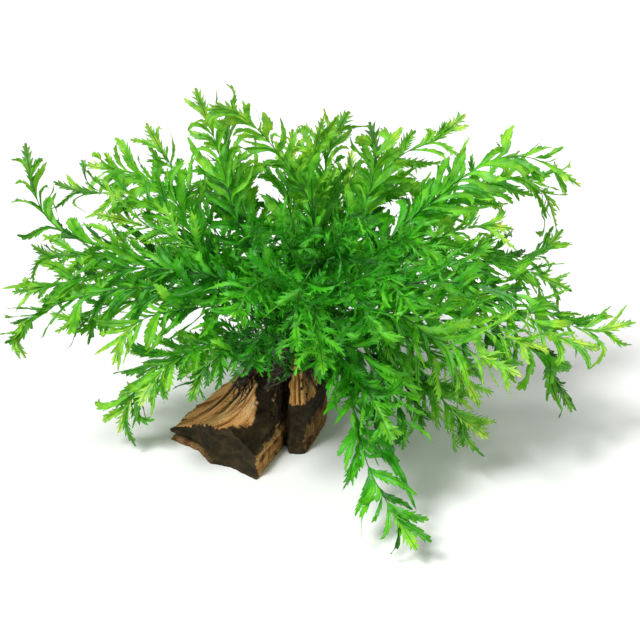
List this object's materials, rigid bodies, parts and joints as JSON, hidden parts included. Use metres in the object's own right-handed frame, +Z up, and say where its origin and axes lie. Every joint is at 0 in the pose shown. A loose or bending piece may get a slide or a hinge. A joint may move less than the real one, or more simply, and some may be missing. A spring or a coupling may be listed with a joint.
{
  "type": "african water fern on driftwood",
  "caption": "Bushy underwater fern with arching, toothed, feathery fronds on a creeping rhizome that clings to a split, two-limbed piece of driftwood standing on its flat underside.",
  "frame": {"origin": "on the flat underside of the driftwood, below the middle of the plant's stand", "axes": "+Z up, -Y towards the side that the picture shows, +X to that side's right, along the plant's longest spread"},
  "size_m": [0.4649, 0.371, 0.2819],
  "materials": {
    "driftwood": "matte",
    "rhizome": "matte",
    "fern_leaf": "satin"
  },
  "bodies": {
    "root": {"driftwood_left_limb": "driftwood", "driftwood_right_limb": "driftwood", "frond_back_1": "fern_leaf", "frond_back_2": "fern_leaf", "frond_back_3": "fern_leaf", "frond_back_4": "fern_leaf", "frond_back_5": "fern_leaf", "frond_back_6": "fern_leaf", "frond_back_7": "fern_leaf", "frond_front_long": "fern_leaf", "frond_front_middle": "fern_leaf", "frond_front_right": "fern_leaf", "frond_front_thin": "fern_leaf", "frond_inner_1": "fern_leaf", "frond_inner_2": "fern_leaf", "frond_inner_3": "fern_leaf", "frond_inner_4": "fern_leaf", "frond_inner_5": "fern_leaf", "frond_inner_6": "fern_leaf", "frond_inner_7": "fern_leaf", "frond_inner_8": "fern_leaf", "frond_inner_9": "fern_leaf", "frond_left_curl": "fern_leaf", "frond_left_droop": "fern_leaf", "frond_left_hanging": "fern_leaf", "frond_left_hook": "fern_leaf", "frond_left_inner": "fern_leaf", "frond_left_long": "fern_leaf", "frond_left_low": "fern_leaf", "frond_left_lower": "fern_leaf", "frond_left_middle": "fern_leaf", "frond_left_short": "fern_leaf", "frond_left_top": "fern_leaf", "frond_left_upper": "fern_leaf", "frond_right_arch": "fern_leaf", "frond_right_bend": "fern_leaf", "frond_right_filler": "fern_leaf", "frond_right_inner": "fern_leaf", "frond_right_long": "fern_leaf", "frond_right_low": "fern_leaf", "frond_right_lower": "fern_leaf", "frond_right_middle": "fern_leaf", "frond_right_outer": "fern_leaf", "frond_right_raised": "fern_leaf", "frond_right_short": "fern_leaf", "frond_right_under": "fern_leaf", "frond_right_upper": "fern_leaf", "frond_top_arch": "fern_leaf", "frond_top_back": "fern_leaf", "frond_top_broad": "fern_leaf", "frond_top_fork": "fern_leaf", "frond_top_left": "fern_leaf", "frond_top_middle": "fern_leaf", "frond_top_outer": "fern_leaf", "frond_top_reach": "fern_leaf", "frond_top_right": "fern_leaf", "frond_top_tall": "fern_leaf", "rhizome_back": "rhizome", "rhizome_front": "rhizome", "rhizome_main": "rhizome"}
  },
  "joints": []
}
